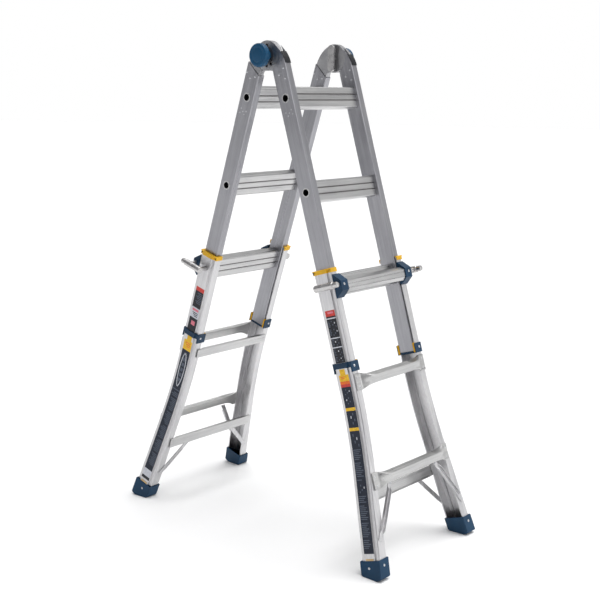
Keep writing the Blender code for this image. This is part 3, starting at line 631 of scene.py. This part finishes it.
def front_labels(end, side, name):
    """Pictured instructions above the guide, and a long navy label below it."""
    panels = [band(0.683, 0.7015, "red"), band(0.7015, 0.8515, "dark"),
              band(0.687, 0.6935, "pink", -0.010, 0.013, 1)]
    for down in (0.7085, 0.7715, 0.8015):
        panels.append(band(down - 0.0017, down + 0.0017, "white", lift=1))
    for k, (start, stop) in enumerate(((0.716, 0.738), (0.742, 0.765), (0.776, 0.797),
                                       (0.806, 0.828), (0.831, 0.848))):
        panels += picture(start, stop, -0.004, 0.016, k)
        panels += text_lines(start, stop, 0.005, 0.0042, "grey", k, -0.012)
    panels += [band(0.8900, 0.9105, "yellow"), band(0.9105, 0.9200, "orange"),
               band(0.9200, 0.9290, "red"), band(0.8720, 0.8900, "yellow", -0.013, 0.009),
               band(0.9290, 1.4450, "navy")]
    panels += text_lines(0.894, 0.908, 0.014, 0.0050, "orange", 3)
    for down in (1.000, 1.0635):
        panels.append(band(down - 0.0050, down + 0.0050, "yellow", lift=1))
    for start, stop, seed in ((0.936, 0.955, 1), (0.962, 0.985, 2), (1.012, 1.050, 3),
                              (1.078, 1.120, 5), (1.235, 1.262, 6)):
        panels += picture(start, stop, -0.010, 0.012, seed)
    for start, stop, seed in ((1.125, 1.225, 2), (1.268, 1.435, 4)):
        panels += text_lines(start, stop, 0.0165, 0.0058, "grey", seed)
    label(f"{end}_label_{name}", end, side, panels)


def rear_labels(end, side, name):
    """A short label above the guide, and a long navy one with a pale oval below it."""
    panels = [band(0.684, 0.699, "red"), band(0.699, 0.761, "dark"),
              band(0.761, 0.800, "white"), band(0.766, 0.774, "pink", -0.015, 0.015, 1),
              band(0.800, 0.8515, "dark"), band(0.812, 0.828, "pink", -0.010, 0.008, 1)]
    panels += text_lines(0.704, 0.757, 0.016, 0.0060, "grey", 1)
    panels += text_lines(0.778, 0.796, 0.014, 0.0060, "dark", 2)
    panels += [band(0.8720, 0.8900, "yellow", -0.013, 0.009), band(0.8900, 0.9290, "yellow"),
               band(0.9290, 1.4130, "navy"), band(1.4130, 1.4400, "white"),
               band(1.4400, 1.4510, "dark"), band(1.0850, 1.0885, "grey", lift=1)]
    panels += text_lines(0.897, 0.923, 0.013, 0.0070, "orange", 2)
    middle, apart, block = 1.007, 0.0200, 0.0065
    panels += oval(middle, 0.066, 0.0135, 0.0030)
    for k in range(5):
        down = middle + (k - 2) * apart
        panels.append(band(down - block, down + block, "grey", -0.0055, 0.0055, 1))
    panels += text_lines(1.096, 1.405, 0.0165, 0.0062, "grey", 5)
    label(f"{end}_label_{name}", end, side, panels)


def outer_frame(end):
    body = end + "_outer_frame"
    from_cad(f"{end}_top_outer_rung", end, body, METALS["rung"], 0.0006)
    for index, level in enumerate(("upper", "lower")):
        climbing_step(end, index, level)
        from_cad(f"{end}_{level}_back_bar", end, body, METALS["rung"], 0.0003)
    pieces = (("outer_rail", "aluminium", METALS["outer"], 0.0004),
              ("top_rung_bracket", "navy_plastic", PLASTICS["navy"], 0.0010),
              ("rail_top_cap", "yellow_plastic", PLASTICS["yellow"], 0.0006),
              ("rail_guide", "navy_plastic", PLASTICS["navy"], 0.0008),
              ("climbing_brace", "aluminium", METALS["outer"], 0.0004),
              ("back_brace", "aluminium", METALS["outer"], 0.0004),
              ("shoe", "navy_rubber", PLASTICS["rubber"], 0.0022))
    flange = OUTER_DEPTH / 2 + GAP
    strap, brace, shoe_wall, shoe_face = 0.0032, 0.0018, 0.0029, 0.0031
    bracket_face = 0.0658
    climbing, back = (0, 0, 1), (0, 0, -1)
    web_heads, plastic_heads, brace_heads = [], [], []
    for side in SIDES:
        name = hand(end, side)
        for kind, slot, skin, bevel in pieces:
            from_cad(f"{end}_{kind}_{name}", end, body, skin, bevel)
        from_cad(f"{end}_telescoping_lock_{name}", end, f"{end}_lock_{name}",
                 METALS["steel"], 0.0004)
        guide_tabs(end, side)
        shoe_liner(end, side)
        web_heads += [((side * 0.175, -0.6110, bracket_face), climbing),
                      ((side * 0.179, -0.8670, flange + strap), climbing),
                      ((side * 0.179, -0.8670, -flange - strap), back)]
        plastic_heads += [((side * (web_x(1.488) + CROWN + shoe_wall), -1.4880, -0.004),
                           (side, 0, 0)),
                          ((side * (web_x(1.485) - 0.0160), -1.4850, flange + shoe_face),
                           climbing)]
        brace_heads += [((side * 0.2335, -1.4045, flange + brace), climbing),
                        ((side * 0.127, -STEP_TOPS[1] - 0.0430, flange + brace), climbing),
                        ((side * 0.2270, -1.4105, -flange - brace), back)]
    rivets(end + "_bracket_rivets", end, body, web_heads, radius=0.0042, height=0.0018)
    rivets(end + "_shoe_rivets", end, body, plastic_heads, radius=0.0042, height=0.0016)
    rivets(end + "_brace_rivets", end, body, brace_heads, radius=0.0036)


def guide_tabs(end, side):
    """Yellow wear tabs over the channel's lips, beside the guide."""
    work = bmesh.new()
    top, bottom = GUIDE_SPAN
    for flip in SIDES:
        n0, n1 = sorted((flip * 0.0297, flip * 0.0347))
        x0, x1 = sorted((side * 0.1540, side * 0.1638))
        add_block(work, (x0, -bottom, n0), (x1, -top, n1), 0.0012)
    name = f"{end}_guide_tabs_{hand(end, side)}"
    finished(name, mesh_from(work, name), PLACES[end], end + "_outer_frame",
             PLASTICS["yellow"])


def shoe_liner(end, side):
    """The pale liner that shows above the shoe, on the web."""
    work = bmesh.new()
    x = side * (web_x(SHOE_TOP) + CROWN)
    x0, x1 = sorted((x + side * 0.0001, x + side * 0.0013))
    add_block(work, (x0, -SHOE_TOP - 0.0006, -0.0150), (x1, -SHOE_TOP + 0.0052, 0.0150),
              0.0004)
    name = f"{end}_shoe_liner_{hand(end, side)}"
    finished(name, mesh_from(work, name), PLACES[end], end + "_outer_frame",
             PLASTICS["pale"])


for end in ("front", "rear"):
    inner_frame(end)
    outer_frame(end)
for side in SIDES:
    crest_cap(side)
    hinge_lock(side)
front_labels("front", -1, "left")
rear_labels("rear", 1, "left")
rear_labels("front", 1, "right")
front_labels("rear", -1, "right")


# ---- floor, light and camera ----------------------------------------------------------------
def pale_floor():
    floor_work = bmesh.new()
    bmesh.ops.create_circle(floor_work, cap_ends=True, segments=96, radius=40.0)
    mesh = mesh_from(floor_work, "floor")
    skin = Skin("pale_floor")
    clouds = skin.noise(0.6, detail=2.0)
    skin.link(skin.colour(clouds, (0.86, 0.86, 0.86), (0.89, 0.89, 0.89)), "Base Color")
    skin.shader.inputs["Roughness"].default_value = 0.9
    mesh.materials.append(skin.made)
    floor = bpy.data.objects.new("floor", mesh)
    bpy.context.scene.collection.objects.link(floor)
    floor.location.z = -0.0005


def surround():
    """A white backdrop; the light from it is softer, and dimmer on the left."""
    world = bpy.data.worlds.new("studio")
    world.use_nodes = True
    tree = world.node_tree
    seen = tree.nodes["Background"]
    seen.inputs["Color"].default_value = (1.0, 1.0, 1.0, 1.0)
    around = tree.nodes.new("ShaderNodeBackground")
    around.inputs["Strength"].default_value = 0.62
    place = tree.nodes.new("ShaderNodeTexCoord")
    split = tree.nodes.new("ShaderNodeSeparateXYZ")
    ramp = tree.nodes.new("ShaderNodeValToRGB")
    dim, bright = ramp.color_ramp.elements
    dim.position, dim.color = 0.0, (0.36, 0.36, 0.38, 1.0)
    bright.position, bright.color = 0.75, (1.0, 1.0, 1.0, 1.0)
    path = tree.nodes.new("ShaderNodeLightPath")
    mix = tree.nodes.new("ShaderNodeMixShader")
    shift = tree.nodes.new("ShaderNodeMapRange")
    shift.inputs["From Min"].default_value = -1.0
    tree.links.new(place.outputs["Generated"], split.inputs["Vector"])
    tree.links.new(split.outputs["X"], shift.inputs["Value"])
    tree.links.new(shift.outputs["Result"], ramp.inputs["Fac"])
    tree.links.new(ramp.outputs["Color"], around.inputs["Color"])
    tree.links.new(path.outputs["Is Camera Ray"], mix.inputs["Fac"])
    tree.links.new(around.outputs["Background"], mix.inputs[1])
    tree.links.new(seen.outputs["Background"], mix.inputs[2])
    tree.links.new(mix.outputs["Shader"], tree.nodes["World Output"].inputs["Surface"])
    bpy.context.scene.world = world
    bpy.context.scene.view_settings.view_transform = "Standard"


def lamps():
    """A broad overhead light, and two weak soft boxes in front."""
    middle = Vector((0.0, 0.0, 0.8))
    for name, kind, spot, spread, power in (
            ("overhead", "SUN", (0.6, -0.5, 4.0), 1.0, 2.7),
            ("key", "AREA", (-3.2, -3.4, 3.6), 2.0, 24.0),
            ("fill", "AREA", (2.6, -4.2, 1.6), 2.0, 18.0)):
        lamp = bpy.data.lights.new(name, kind)
        if kind == "SUN":
            lamp.angle = spread
        else:
            lamp.size = spread
        lamp.energy = power
        made = bpy.data.objects.new(name, lamp)
        bpy.context.scene.collection.objects.link(made)
        made.location = spot
        made.rotation_euler = (middle - Vector(spot)).to_track_quat("-Z", "Y").to_euler()


def camera():
    """A long lens from the front left, a little above, looking slightly down."""
    spot = Vector((-2.8921, -2.4356, 1.4949))
    yaw, pitch, roll = 0.8709, -0.1895, 0.0151
    ahead = Vector((math.sin(yaw) * math.cos(pitch), math.cos(yaw) * math.cos(pitch),
                    math.sin(pitch)))
    right = ahead.cross(Vector((0.0, 0.0, 1.0))).normalized()
    up = right.cross(ahead)
    right, up = (right * math.cos(roll) + up * math.sin(roll),
                 up * math.cos(roll) - right * math.sin(roll))
    lens = bpy.data.cameras.new("camera")
    lens.sensor_width = 36.0
    lens.angle = math.radians(30.0)
    made = bpy.data.objects.new("camera", lens)
    bpy.context.scene.collection.objects.link(made)
    turn = Matrix((right, up, -ahead)).transposed()
    made.matrix_world = Matrix.Translation(spot) @ turn.to_4x4()
    bpy.context.scene.camera = made


pale_floor()
surround()
lamps()
camera()
